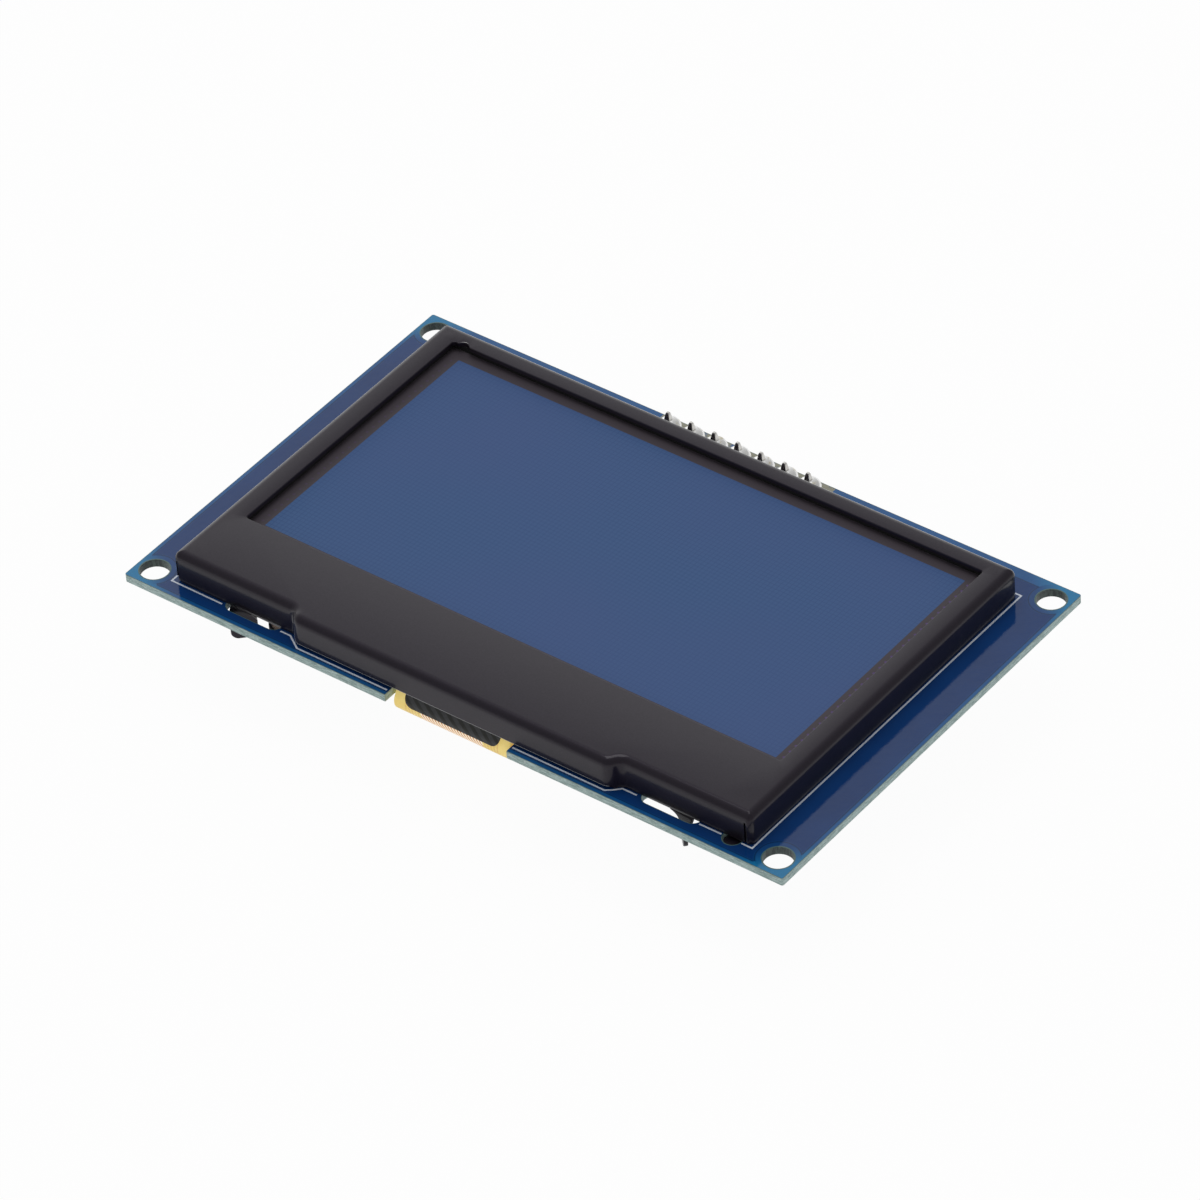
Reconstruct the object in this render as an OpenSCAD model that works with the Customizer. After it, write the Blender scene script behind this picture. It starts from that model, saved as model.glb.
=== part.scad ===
// Small graphic OLED display module on its own circuit board.
// Millimetres. The origin is the middle of the four corner holes, on the board's front face.
// +Z points out of the display, +X runs along the long side, +Y points to the pin header.

/* [Circuit board] */
// Length of the board, along X
board_w = 70.75; // [70:0.05:72]
// Depth of the board, along Y
board_d = 43.55; // [43.4:0.05:44.4]
// Thickness of the board
board_t = 0.8; // [0.8:0.1:1.2]
// Distance between the corner holes along X
hole_pitch_x = 67.1; // [66.8:0.05:67.4]
// Distance between the corner holes along Y
hole_pitch_y = 39.7; // [39.5:0.05:39.9]
// Diameter of a corner hole
hole_d = 2.7; // [2.2:0.1:2.8]
// Width of the notch that the flex circuit folds through
notch_w = 13.1; // [12.8:0.1:14]
// Length of a slot for a bezel tab
slot_len = 6.1; // [5:0.1:7]

/* [Bezel] */
// Length of the folded bezel, along X
bezel_w = 62.1; // [62:0.05:62.4]
// Depth of the folded bezel, along Y, without its nose
bezel_d = 38.55; // [38.3:0.05:38.8]
// Height of the bezel's face over the board
bezel_h = 3.2; // [3.1:0.05:3.6]
// Thickness of the steel sheet
sheet_t = 0.4; // [0.3:0.05:0.45]
// Outside radius of the folds
bend_r = 0.8; // [0.6:0.05:1]
// How far the nose of the front wall stands out
nose_out = 1.08; // [0.9:0.02:1.1]
// Length of the straight front of the nose
nose_w = 32.5; // [30:0.5:34]
// Width of the window
window_w = 57.5; // [56.8:0.1:58]
// Depth of the window
window_d = 29.4; // [28.8:0.1:30]

/* [Display panel] */
// Width of the lit dot matrix: 128 dots
matrix_w = 55.01; // [54:0.01:56]
// Depth of the lit dot matrix: 64 dots
matrix_d = 27.49; // [27:0.01:28]
// Width of the display glass
glass_w = 60.5; // [60.3:0.1:60.9]
// Depth of the display glass
glass_d = 37; // [36.8:0.1:37.2]

/* [Flex circuit] */
// Width of the flex circuit
flex_w = 12.3; // [11.5:0.1:12.6]
// Thickness of the flex circuit
flex_t = 0.12; // [0.1:0.01:0.15]

/* [Pin header] */
// Number of pins
pins = 7; // [7:1:7]
// Distance between pins
pin_pitch = 2.54; // [2.5:0.01:2.56]
// Height of the pin tips over the board's front face
pin_top = 2.1; // [1.8:0.1:2.4]
// Free length of a pin below the plastic strip
pin_free = 6; // [5:0.5:8]

/* [Hidden] */
$fn = 48;
through = 1;                              // overshoot of a cut past the face that it opens
fold_steps = 6;                           // facets across a fold of the sheet
step_steps = 6;                           // facets along each arc of the nose's ends
flex_step = 8;                            // largest turn of the flex circuit between facets, in degrees

// Board
board_corner_r = 0.2;
board_front = -board_d / 2;
notch_depth = 1.9;
slot_w = 1.9;
slot_x = 22.45;
pin_hole_d = 1;
lug_hole_d = 1.8;
lug_x = 28.93;

// Bezel: its middle lies a little left of the board's middle
bezel_x = -0.12;
bezel_front = -19.95;
bezel_back = bezel_front + bezel_d;
bezel_half = bezel_w / 2;
window_y = 1.95;
window_r = 0.5;
tab_x = 23.7;
tab_w = 2.4;
tab_twist = 45;
tab_twist_len = 1.3;
tab_reach = 2.4;                          // how far a tab reaches past the board's back
tab_end_r = 0.5;
slot_inset = 0.35;                        // from the bezel's outside to a slot's centre line
lug_w = 1.2;
lug_reach = 1.2;
slit_w = 0.18;
slit_top = 2.25;
slit_in = 0.5;                            // from the side wall's outer face to the slit
nose_lift = 0.3;                          // gap between the nose wall and the board
nose_lift_over = 0.9;                     // how far that gap runs into the S at each end
crop = 0.5;                               // cropped lower corner of the left wall

// The nose meets the front wall through an S of two arcs, each turning by step_angle
step_angle = 60;
step_sum = nose_out / (1 - cos(step_angle));
step_convex = 1.2;
step_concave = step_sum - step_convex;
nose_front = bezel_front - nose_out;
nose_half = nose_w / 2;
join_half = nose_half + step_sum * sin(step_angle);

// Levels of the panel's layers over the board
tape_t = 0.3;
cap_t = 0.95;
seal_t = 0.05;
pane_t = 0.7;
film_t = 0.2;
cap_z = tape_t;
seal_z = cap_z + cap_t;
pane_z = seal_z + seal_t;
film_z = pane_z + pane_t;
front_z = film_z + film_t;

// Places of the panel's layers
glass_y = -0.6;
glass_front = glass_y - glass_d / 2;
glass_back = glass_y + glass_d / 2;
cap_d = 32.2;
cap_y = glass_back - cap_d / 2;
film_w = 59.8;
film_front = -13.9;
film_back = 17.7;
driver_y = -16.4;
driver_size = [12.6, 1.1];
driver_t = 0.35;
hollow = 0.3;                             // depth of the cap glass's hollow
hollow_margin = 0.5;
absorber_size = [44, 20];
absorber_r = 1;
absorber_t = 0.15;
seal_margin = 1.2;
tape_size = [9, 26];
tape_x = 22;
gasket_margin = 0.3;

// Flex circuit: bond under the glass ledge, drop through the notch, fold, joints on the board's back
bond_len = 1.5;
ledge_r = 0.9;
ledge_turn = 60;
drop_len = 1.6;
fold_r = 1.2;
rise_turn = 40;
rise_r = 1.5;
joint_len = 2.4;
joint_t = 0.05;
flex_x = -0.05;
flex_front = -20.98;                      // centre line at the front of the fold
bond_z = pane_z - flex_t / 2;
drop = ledge_r * (1 - cos(ledge_turn)) + drop_len * sin(ledge_turn) + fold_r * cos(ledge_turn);
fold_low = bond_z - drop - fold_r;        // centre line at the lowest point of the fold
joint_z = -board_t - joint_t - flex_t / 2;
rise_arcs = (fold_r + rise_r) * (1 - cos(rise_turn));
rise_len = (joint_z - fold_low - rise_arcs) / sin(rise_turn);
ledge_out = (ledge_r - fold_r) * sin(ledge_turn) + drop_len * cos(ledge_turn) + fold_r;
// Legs of the centre line, as [length, turn to the left]
FLEX_LEGS = [
    [bond_len, 0], arc_leg(ledge_r, ledge_turn), [drop_len, 0], arc_leg(fold_r, 180 - ledge_turn + rise_turn),
    [rise_len, 0], arc_leg(rise_r, -rise_turn), [joint_len, 0],
];
FLEX_PATH = walk(FLEX_LEGS, [flex_front + ledge_out + bond_len, bond_z], 180);
cover_w = 10.2;
cover_t = 0.03;
cover_end_z = -1.07;
cover_r = 0.9;
joints = 24;
joint_pitch = 0.48;
joint_w = 0.28;
joint_inset = 0.3;

// Pin header, on the back of the board
header_x = -0.1;
header_y = 20.3;
pin_side = 0.64;
strip_h = 2.54;
strip_d = 2.5;
strip_chamfer = 0.5;
pin_bottom = board_t + strip_h + pin_free;
pin_taper = 0.35;
// Side of a solder cone on the board's front, as [radius, height]
SOLDER_SIDE = [[0.92, 0], [0.9, 0.07], [0.74, 0.26], [0.6, 0.55], [0.52, 0.85], [0.47, 1.12]];

// Parts on the back of the board
back_z = -board_t;
pad_t = 0.05;
parts_z = back_z - pad_t;
// Ceramic capacitors, as [x, y, turn, length, width, height]
CAPACITORS = [
    [-8.6, -13.2, 90, 2, 1.25, 0.95], [8.6, -13.4, 90, 2, 1.25, 0.95],
    [-11.6, -13.2, 90, 1.6, 0.8, 0.8], [11.2, -13.2, 90, 1.6, 0.8, 0.8],
    [-4.5, -11.6, 0, 1.6, 0.8, 0.8], [0, -11.6, 0, 1.6, 0.8, 0.8], [4.5, -11.6, 0, 1.6, 0.8, 0.8],
    [-26.6, -12.2, 90, 2, 1.25, 1.25], [-14.6, 13.2, 90, 2, 1.25, 0.95], [-7.4, 13.2, 90, 1.6, 0.8, 0.8],
];
// Resistors, as [x, y, turn]
RESISTORS = [
    [-14.2, -8.6, 0], [-17.6, -8.6, 0], [-8.2, -8.4, 0], [-4.6, -8.4, 0],
    [-1.5, 14.6, 90], [0.9, 14.6, 90], [3.3, 14.6, 90], [5.7, 14.6, 90], [8.1, 14.6, 90], [10.5, 14.6, 90],
];
resistor_len = 1.6;
resistor_w = 0.8;
resistor_h = 0.45;
terminal = 0.3;                           // length of a chip part's metal end
boost_at = [-16, -12.4];
regulator_at = [-11, 13.2];
coil_at = [-21.5, -16.2];
diode_at = [-21.7, -12.2];
// Small outline packages and their gull-wing leads
sot_l = 2.9;
sot_w = 1.6;
sot_h = 1.05;
sot_lift = 0.1;
sot_pitch = 0.95;
sot_draft = 0.12;
lead_w = 0.4;
lead_out = 0.6;
lead_h = 0.62;
lead_t = 0.15;
diode_l = 2.7;
diode_w = 1.6;
// Drum coil
coil_r = 2;
coil_h = 2.6;
coil_flange = 0.6;
coil_neck_r = 1.1;
winding_gap = 0.25;                       // from the winding to the rim of the flanges
// Pads
pad_margin = 0.05;
pad_over = 0.35;
pad_len = 0.75;
lead_pad_len = 0.9;
lead_pad_in = 0.1;
coil_pad_w = 1.6;

// ---- Outlines ----

// Rectangle with round corners, about the origin
module rounded_rect(w, d, r) {
    square([w - 2 * r, d], center = true);
    square([w, d - 2 * r], center = true);
    for (x = [-1, 1], y = [-1, 1])
        translate([x * (w / 2 - r), y * (d / 2 - r)]) circle(r);
}

// Slot with round ends, about the origin
module slot(len, w) {
    square([len - w, w], center = true);
    for (x = [-1, 1])
        translate([x * (len - w) / 2, 0]) circle(d = w);
}

// Square-cornered frame, about the origin
module frame(outer, inner) {
    difference() {
        square(outer, center = true);
        square(inner, center = true);
    }
}

function pin_x(i) = header_x + (i - (pins + 1) / 2) * pin_pitch;

// ---- Circuit board ----

module board_outline() {
    difference() {
        rounded_rect(board_w, board_d, board_corner_r);
        translate([0, board_front]) rounded_rect(notch_w, 2 * notch_depth, board_corner_r);
        for (x = [-slot_x, slot_x], y = [bezel_front + slot_inset, bezel_back - slot_inset])
            translate([x, y]) slot(slot_len, slot_w);
    }
}

module pcb() {
    color("#123a72") difference() {
        translate([0, 0, back_z]) linear_extrude(board_t) board_outline();
        translate([0, 0, back_z - through]) {
            for (x = [-1, 1], y = [-1, 1])
                translate([x * hole_pitch_x / 2, y * hole_pitch_y / 2])
                    cylinder(d = hole_d, h = board_t + 2 * through);
            for (i = [1:pins])
                translate([pin_x(i), header_y]) cylinder(d = pin_hole_d, h = board_t + 2 * through);
            translate([lug_x, bezel_front]) cylinder(d = lug_hole_d, h = board_t + 2 * through);
        }
    }
}

// ---- Bezel ----

// Points along an arc
function arc(c, r, from, to, steps) =
    [for (i = [0:steps]) let (a = from + (to - from) * i / steps) c + r * [cos(a), sin(a)]];

function mirrored(points) = [for (i = [len(points) - 1:-1:0]) [-points[i][0], points[i][1]]];

// One end of the nose in plan: an arc out of the front wall, then an arc into the nose's front
function nose_end(inset) = concat(
    arc([-join_half, bezel_front - step_concave], step_concave + inset, 90, 90 - step_angle, step_steps),
    [for (i = [1:step_steps])
        arc([-nose_half, nose_front + step_convex], step_convex - inset, 270 - step_angle, 270, step_steps)[i]]
);

// Plan of the bezel, moved in from its outer face
function bezel_plan(inset) = let (
    x = bezel_half - inset, front = bezel_front + inset, back = bezel_back - inset, end = nose_end(inset)
) concat([[-x, front]], end, mirrored(end), [[x, front], [x, back], [-x, back]]);

// Section of the folded sheet, as [inset, height]: up the outside over the fold, back down the inside
fold_section = concat(
    [[0, 0]], arc([bend_r, bezel_h - bend_r], bend_r, 180, 90, fold_steps),
    arc([bend_r, bezel_h - bend_r], bend_r - sheet_t, 90, 180, fold_steps), [[sheet_t, 0]]
);

// Tray of folded sheet with mitred corners, swept round the plan
module folded_tray() {
    n = len(bezel_plan(0));
    rings = len(fold_section);
    top = fold_steps + 1;                 // the ring on the edge of the flat face
    points = [for (s = fold_section, p = bezel_plan(s[0])) [p[0], p[1], s[1]]];
    walls = [for (k = [0:rings - 1], i = [0:n - 1]) if (k != top)
        let (a = k * n, b = ((k + 1) % rings) * n, j = (i + 1) % n) [a + i, b + i, b + j, a + j]];
    face = [for (i = [1:n]) top * n + n - i];
    underside = [for (i = [0:n - 1]) (top + 1) * n + (i + n - 1) % n];
    polyhedron(points, concat(walls, [face, underside]), convexity = 6);
}

// Openings that part the front and back walls from the side walls at the corners
module corner_slits() {
    for (x = [-1, 1], y = [bezel_front + sheet_t / 2, bezel_back - sheet_t / 2])
        translate([x * (bezel_half - slit_in), y, 0]) {
            translate([-slit_w / 2, -sheet_t, -through]) cube([slit_w, 2 * sheet_t, slit_top + through]);
            translate([0, sheet_t, slit_top]) rotate([90, 0, 0]) cylinder(r = slit_w, h = 2 * sheet_t);
        }
}

module bezel_shell() {
    lift_half = nose_half + nose_lift_over;
    difference() {
        folded_tray();
        // the nose stands clear of the board
        translate([-lift_half, nose_front - through, -through])
            cube([2 * lift_half, nose_out + through, nose_lift + through]);
        corner_slits();
        translate([-bezel_half, bezel_front, 0]) rotate([45, 0, 0])
            cube([2 * sheet_t + slit_w, crop * sqrt(2), crop * sqrt(2)], center = true);
    }
}

// Tab that goes down through its slot, twisting as it goes; turn is its direction
module tab(turn) {
    end_len = board_t + tab_reach - tab_twist_len;
    translate([-tab_w / 2, -sheet_t / 2, 0]) cube([tab_w, sheet_t, bend_r]);
    mirror([0, 0, 1]) {
        linear_extrude(tab_twist_len, twist = turn, slices = 6, segments = 4)
            square([tab_w, sheet_t], center = true);
        rotate([0, 0, -turn]) translate([0, sheet_t / 2, tab_twist_len]) rotate([90, 0, 0])
            linear_extrude(sheet_t) {
                translate([-tab_w / 2, 0]) square([tab_w, end_len - tab_end_r]);
                translate([tab_end_r - tab_w / 2, 0]) square([tab_w - 2 * tab_end_r, end_len]);
                for (side = [-1, 1])
                    translate([side * (tab_w / 2 - tab_end_r), end_len - tab_end_r]) circle(tab_end_r);
            }
    }
}

module bezel() {
    color("#232227") {
        difference() {
            translate([bezel_x, 0, 0]) bezel_shell();
            translate([0, window_y, bezel_h - sheet_t - through])
                linear_extrude(sheet_t + 2 * through) rounded_rect(window_w, window_d, window_r);
        }
        for (side = [-1, 1]) {
            translate([bezel_x + side * tab_x, bezel_front + sheet_t / 2, 0]) tab(side * tab_twist);
            translate([bezel_x + side * tab_x, bezel_back - sheet_t / 2, 0]) tab(-side * tab_twist);
        }
        translate([lug_x - lug_w / 2, bezel_front, -lug_reach]) cube([lug_w, sheet_t, lug_reach + bend_r]);
    }
}

// ---- Display panel ----

module pane(w, front, back, z, t) {
    translate([-w / 2, front, z]) cube([w, back - front, t]);
}

module polariser_film() {
    color("#2c3650") pane(film_w, film_front, film_back, film_z, film_t);
}

module display_glass() {
    color("#6f7a86") pane(glass_w, glass_front, glass_back, pane_z, pane_t);
}

module pixel_matrix() {
    color("#42588a") translate([0, window_y, seal_z]) linear_extrude(seal_t)
        square([matrix_w, matrix_d], center = true);
}

module edge_seal() {
    color("#c9c2a6") translate([0, window_y, seal_z]) linear_extrude(seal_t)
        frame([film_w - seal_margin, cap_d - 2 * seal_margin], [window_w, window_d]);
}

// Cap glass with an etched hollow behind the dot matrix
module cap_glass() {
    color("#5d6672") difference() {
        pane(glass_w, glass_back - cap_d, glass_back, cap_z, cap_t);
        translate([0, window_y, seal_z - hollow]) linear_extrude(hollow + through)
            square([matrix_w + 2 * hollow_margin, matrix_d + 2 * hollow_margin], center = true);
    }
}

module moisture_absorber() {
    color("#e4e2da") translate([0, window_y, seal_z - hollow]) linear_extrude(absorber_t)
        rounded_rect(absorber_size[0], absorber_size[1], absorber_r);
}

module driver_chip() {
    color("#8d9098") translate([flex_x, driver_y, pane_z - driver_t]) linear_extrude(driver_t)
        square(driver_size, center = true);
}

module window_gasket() {
    hole = [window_w + 2 * gasket_margin, window_d + 2 * gasket_margin];
    color("#151517") translate([0, 0, front_z]) linear_extrude(bezel_h - sheet_t - front_z)
        difference() {
            translate([-film_w / 2, film_front]) square([film_w, film_back - film_front]);
            translate([0, window_y]) square(hole, center = true);
        }
}

module panel_tape() {
    color("#e8e6df") for (x = [-tape_x, tape_x])
        translate([x, cap_y, 0]) linear_extrude(tape_t) square(tape_size, center = true);
}

// ---- Flex circuit ----

// A leg that turns at radius r
function arc_leg(r, turn) = [r * abs(turn) * PI / 180, turn];

// Where a leg that starts at p with a heading has got to, at a share of its length
function along(leg, p, heading, share) = leg[1] == 0
    ? p + leg[0] * share * [cos(heading), sin(heading)]
    : let (r = leg[0] / (leg[1] * PI / 180), h = heading + leg[1] * share)
        p + r * [sin(h) - sin(heading), cos(heading) - cos(h)];

// Stations along the legs, as [point, heading]
function walk(legs, p, heading, i = 0) = i == len(legs) ? [[p, heading]] : let (
    leg = legs[i], steps = max(1, ceil(abs(leg[1]) / flex_step))
) concat(
    [for (k = [0:steps - 1]) [along(leg, p, heading, k / steps), heading + leg[1] * k / steps]],
    walk(legs, along(leg, p, heading, 1), heading + leg[1], i + 1)
);

function beside(station, d) = station[0] + d * [-sin(station[1]), cos(station[1])];

// A strip of a given thickness and width along stations; side moves it off the centre line
module strip(stations, t, w, side = 0) {
    last = len(stations) - 1;
    translate([flex_x - w / 2, 0, 0]) rotate([90, 0, 90]) linear_extrude(w)
        polygon(concat(
            [for (i = [0:last]) beside(stations[i], side + t / 2)],
            [for (i = [last:-1:0]) beside(stations[i], side - t / 2)]
        ));
}

module flex_circuit() {
    color("#d9b13c") strip(FLEX_PATH, flex_t, flex_w);
}

// Black coat on the outside of the fold, with round lower corners
module flex_cover() {
    side = -(flex_t + cover_t) / 2;
    outside = [for (s = FLEX_PATH) if (s[1] > 180 && s[1] <= 300) s];
    color("#2f3133") intersection() {
        strip(outside, cover_t, cover_w, side);
        translate([flex_x, bezel_front + through, cover_end_z + cover_w / 2])
            rotate([90, 0, 0]) linear_extrude(2 * through + nose_out) rounded_rect(cover_w, cover_w, cover_r);
    }
}

// Soldered ends of the flex circuit's tracks, on the board's back
module flex_joints() {
    end_y = FLEX_PATH[len(FLEX_PATH) - 2][0][0];
    color("#c8ccd2") for (i = [1:joints])
        translate([flex_x + (i - (joints + 1) / 2) * joint_pitch - joint_w / 2, end_y + joint_inset,
                   back_z - joint_t])
            cube([joint_w, joint_len - joint_inset, joint_t]);
}

// ---- Pin header ----

// Strip with a chamfered waist between neighbouring pins
module header_strip() {
    c = strip_chamfer;
    hp = pin_pitch / 2;
    hd = strip_d / 2;
    color("#1b1b1d") translate([0, header_y, back_z - strip_h]) linear_extrude(strip_h) difference() {
        for (i = [1:pins]) translate([pin_x(i), 0])
            polygon([[-hp, c - hd], [c - hp, -hd], [hp - c, -hd], [hp, c - hd],
                     [hp, hd - c], [hp - c, hd], [c - hp, hd], [-hp, hd - c]]);
        for (i = [1:pins]) translate([pin_x(i), 0]) square(pin_side, center = true);
    }
}

// Side view of a pin, with a taper at both ends
module pin_side_view() {
    s = pin_side / 2;
    e = pin_side / 4;
    polygon([[-e, -pin_bottom], [e, -pin_bottom], [s, pin_taper - pin_bottom], [s, pin_top - pin_taper],
             [e, pin_top], [-e, pin_top], [-s, pin_top - pin_taper], [-s, pin_taper - pin_bottom]]);
}

module header_pin(i) {
    color("#d8d2b8") translate([pin_x(i), header_y, 0]) intersection() {
        rotate([90, 0, 0]) translate([0, 0, -pin_side]) linear_extrude(2 * pin_side) pin_side_view();
        rotate([90, 0, 90]) translate([0, 0, -pin_side]) linear_extrude(2 * pin_side) pin_side_view();
    }
}

// Hollow-sided solder cones round the pins on the board's front
module header_solder() {
    top = SOLDER_SIDE[len(SOLDER_SIDE) - 1][1];
    color("#d4d7db") for (i = [1:pins])
        translate([pin_x(i), header_y, 0]) difference() {
            rotate_extrude() polygon(concat([[0, 0]], SOLDER_SIDE, [[0, top]]));
            translate([-pin_side / 2, -pin_side / 2, -through]) cube([pin_side, pin_side, top + 2 * through]);
        }
}

// ---- Parts on the back ----

// Places children on the board's back at a part's x and y, turned, with +Z out of the back
module on_back(x, y, turn = 0, z = parts_z) {
    translate([x, y, z]) rotate([0, 0, turn]) mirror([0, 0, 1]) children();
}

// A moulded package body with draft on its long sides
module package(l, w, h, lift) {
    draft = sot_draft;
    translate([-l / 2, 0, lift]) rotate([90, 0, 90]) linear_extrude(l)
        polygon([[-w / 2 + draft, 0], [w / 2 - draft, 0], [w / 2, h / 2], [w / 2 - draft, h],
                 [-w / 2 + draft, h], [-w / 2, h / 2]]);
}

// One gull-wing lead, reaching from a package side at y = 0 out to its foot
module gull_lead(lead_w, out, h) {
    t = lead_t;
    translate([-lead_w / 2, 0, 0]) rotate([90, 0, 90]) linear_extrude(lead_w)
        polygon([[0, h], [0.3 * out, h], [0.55 * out, t], [out, t], [out, 0], [0.35 * out, 0],
                 [0.15 * out, h - t], [0, h - t]]);
}

module boost_converter() {
    color("#202022") on_back(boost_at[0], boost_at[1]) package(sot_l, sot_w, sot_h, sot_lift);
}

module regulator() {
    color("#202022") on_back(regulator_at[0], regulator_at[1]) package(sot_l, sot_w, sot_h, sot_lift);
}

module rectifier_diode() {
    color("#262628") on_back(diode_at[0], diode_at[1]) package(diode_l, diode_w, sot_h, sot_lift);
}

module sot_leads(top, bottom) {
    for (x = top) translate([x, sot_w / 2, 0]) gull_lead(lead_w, lead_out, lead_h);
    for (x = bottom) translate([x, -sot_w / 2, 0]) mirror([0, 1, 0]) gull_lead(lead_w, lead_out, lead_h);
}

module chip_leads() {
    color("#cfd2d6") {
        on_back(boost_at[0], boost_at[1])
            sot_leads([-sot_pitch, 0, sot_pitch], [-sot_pitch, 0, sot_pitch]);
        on_back(regulator_at[0], regulator_at[1]) sot_leads([0], [-sot_pitch, sot_pitch]);
        for (side = [0, 180])
            on_back(diode_at[0], diode_at[1], side)
                translate([diode_l / 2, 0, 0]) rotate([0, 0, -90]) gull_lead(2 * lead_w, lead_out, lead_h);
    }
}

// Ferrite drum on a flat base
module coil_core() {
    color("#3a3a3d") on_back(coil_at[0], coil_at[1]) rotate_extrude()
        polygon([[0, 0], [coil_r, 0], [coil_r, coil_flange], [coil_neck_r, coil_flange],
                 [coil_neck_r, coil_h - coil_flange], [coil_r, coil_h - coil_flange],
                 [coil_r, coil_h], [0, coil_h]]);
}

module coil_winding() {
    color("#a8602c") on_back(coil_at[0], coil_at[1]) translate([0, 0, coil_flange]) rotate_extrude()
        translate([coil_neck_r, 0]) square([coil_r - coil_neck_r - winding_gap, coil_h - 2 * coil_flange]);
}

module chip_body(l, w, h) {
    translate([terminal - l / 2, -w / 2, 0]) cube([l - 2 * terminal, w, h]);
}

module chip_ends(l, w, h) {
    for (x = [-l / 2, l / 2 - terminal]) translate([x, -w / 2, 0]) cube([terminal, w, h]);
}

module ceramic_capacitors() {
    color("#b89a6d") for (c = CAPACITORS) on_back(c[0], c[1], c[2]) chip_body(c[3], c[4], c[5]);
}

module chip_resistors() {
    color("#1d1d1f") for (r = RESISTORS)
        on_back(r[0], r[1], r[2]) chip_body(resistor_len, resistor_w, resistor_h);
}

module chip_terminals() {
    color("#c9ccd0") {
        for (c = CAPACITORS) on_back(c[0], c[1], c[2]) chip_ends(c[3], c[4], c[5]);
        for (r = RESISTORS) on_back(r[0], r[1], r[2]) chip_ends(resistor_len, resistor_w, resistor_h);
    }
}

// A pair of pads under a two-ended part, reaching past its ends
module pad_pair(l, w) {
    for (side = [0, 1]) mirror([side, 0, 0])
        translate([l / 2 + pad_over - pad_len, -w / 2 - pad_margin, 0])
            cube([pad_len, w + 2 * pad_margin, pad_t]);
}

// Pads under gull-wing leads, in rows above and below a package
module lead_pads(top, bottom) {
    module row(list) {
        for (x = list) translate([x - lead_w / 2 - pad_margin, sot_w / 2 + lead_pad_in, 0])
            cube([lead_w + 2 * pad_margin, lead_pad_len, pad_t]);
    }
    row(top);
    mirror([0, 1, 0]) row(bottom);
}

module solder_pads() {
    color("#c3c6c9") {
        for (c = CAPACITORS) on_back(c[0], c[1], c[2], back_z) pad_pair(c[3], c[4]);
        for (r = RESISTORS) on_back(r[0], r[1], r[2], back_z) pad_pair(resistor_len, resistor_w);
        on_back(boost_at[0], boost_at[1], 0, back_z)
            lead_pads([-sot_pitch, 0, sot_pitch], [-sot_pitch, 0, sot_pitch]);
        on_back(regulator_at[0], regulator_at[1], 0, back_z) lead_pads([0], [-sot_pitch, sot_pitch]);
        on_back(diode_at[0], diode_at[1], 0, back_z) pad_pair(diode_l + 2 * lead_out, 2 * lead_w);
        on_back(coil_at[0], coil_at[1], 90, back_z) pad_pair(2 * coil_r, coil_pad_w);
    }
}

// ---- Nodes ----

pcb();
bezel();
polariser_film();
display_glass();
pixel_matrix();
edge_seal();
cap_glass();
moisture_absorber();
driver_chip();
window_gasket();
panel_tape();
flex_circuit();
flex_cover();
flex_joints();
header_strip();
header_pin(1);  // header_pin_1
header_pin(2);  // header_pin_2
header_pin(3);  // header_pin_3
header_pin(4);  // header_pin_4
header_pin(5);  // header_pin_5
header_pin(6);  // header_pin_6
header_pin(7);  // header_pin_7
header_solder();
boost_converter();
regulator();
chip_leads();
coil_core();
coil_winding();
rectifier_diode();
ceramic_capacitors();
chip_resistors();
chip_terminals();
solder_pads();
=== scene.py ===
"""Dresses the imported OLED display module: paint, solder mask, glass, solder and printed lines."""
import bpy
import bmesh
import math
import random
from mathutils import Matrix, Vector


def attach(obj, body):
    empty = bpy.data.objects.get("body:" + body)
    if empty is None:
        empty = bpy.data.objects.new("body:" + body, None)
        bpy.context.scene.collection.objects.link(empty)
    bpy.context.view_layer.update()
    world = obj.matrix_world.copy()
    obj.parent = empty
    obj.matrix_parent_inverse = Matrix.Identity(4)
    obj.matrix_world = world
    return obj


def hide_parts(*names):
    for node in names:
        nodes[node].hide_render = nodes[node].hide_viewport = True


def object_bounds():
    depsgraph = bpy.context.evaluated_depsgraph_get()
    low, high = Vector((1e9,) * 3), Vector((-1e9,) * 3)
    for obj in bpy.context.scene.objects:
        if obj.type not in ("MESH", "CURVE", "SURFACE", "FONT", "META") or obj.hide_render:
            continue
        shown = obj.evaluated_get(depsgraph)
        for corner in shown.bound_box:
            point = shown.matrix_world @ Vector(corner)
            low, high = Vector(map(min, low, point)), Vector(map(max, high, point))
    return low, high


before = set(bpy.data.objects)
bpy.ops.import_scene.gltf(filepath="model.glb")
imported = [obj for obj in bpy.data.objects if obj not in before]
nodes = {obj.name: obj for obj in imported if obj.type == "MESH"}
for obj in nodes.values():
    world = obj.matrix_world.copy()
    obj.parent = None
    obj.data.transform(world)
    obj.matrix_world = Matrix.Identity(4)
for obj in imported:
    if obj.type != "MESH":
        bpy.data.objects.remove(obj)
cad_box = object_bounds()
MM = 0.001


# ---- Sizes taken from the solids, in millimetres ----

def extent(name):
    """Smallest and largest corner of a solid."""
    solid = nodes[name]
    corners = [solid.matrix_world @ Vector(corner) for corner in solid.bound_box]
    low = [round(min(c[axis] for c in corners) / MM, 3) for axis in range(3)]
    high = [round(max(c[axis] for c in corners) / MM, 3) for axis in range(3)]
    return low, high


def middle(name, axis):
    low, high = extent(name)
    return round((low[axis] + high[axis]) / 2, 3)


BOARD_X, BOARD_Y = extent("pcb")[1][:2]
LIT_X = extent("pixel_matrix")[1][0]
LIT_MIDDLE = middle("pixel_matrix", 1)
LIT_HALF = extent("pixel_matrix")[1][1] - LIT_MIDDLE
DOT_PITCH = 0.43

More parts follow.
